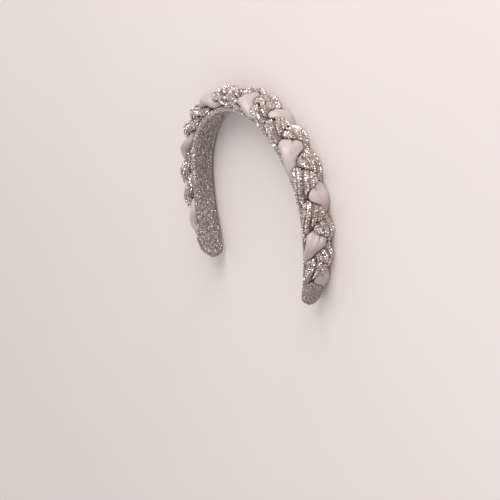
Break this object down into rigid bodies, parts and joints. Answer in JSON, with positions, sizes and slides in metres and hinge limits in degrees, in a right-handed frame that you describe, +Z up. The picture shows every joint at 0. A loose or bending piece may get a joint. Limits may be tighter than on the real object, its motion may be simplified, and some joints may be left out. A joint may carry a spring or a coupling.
{
  "type": "braided headband",
  "caption": "Padded braided headband: a satin strand and crystal-covered strands plaited over a stiff cloth-covered band that springs onto the head.",
  "frame": {"origin": "on the table, under the middle of the headband's bounding box as it lies on its side", "axes": "+X from tip to tip across the headband, +Y from the crown towards the tips, +Z up, towards the edge that is at the front when it is worn"},
  "size_m": [0.1882, 0.1612, 0.0292],
  "materials": {
    "glitter_cover": "grey cloth with fine silver glitter",
    "satin": "pale lilac-grey satin with a soft sheen",
    "crystal_fabric": "grey cloth covered in rows of small clear crystals"
  },
  "bodies": {
    "root": {"base_band": "glitter_cover", "satin_strand": "satin", "glitter_strand_first": "crystal_fabric", "glitter_strand_second": "crystal_fabric"}
  },
  "joints": []
}
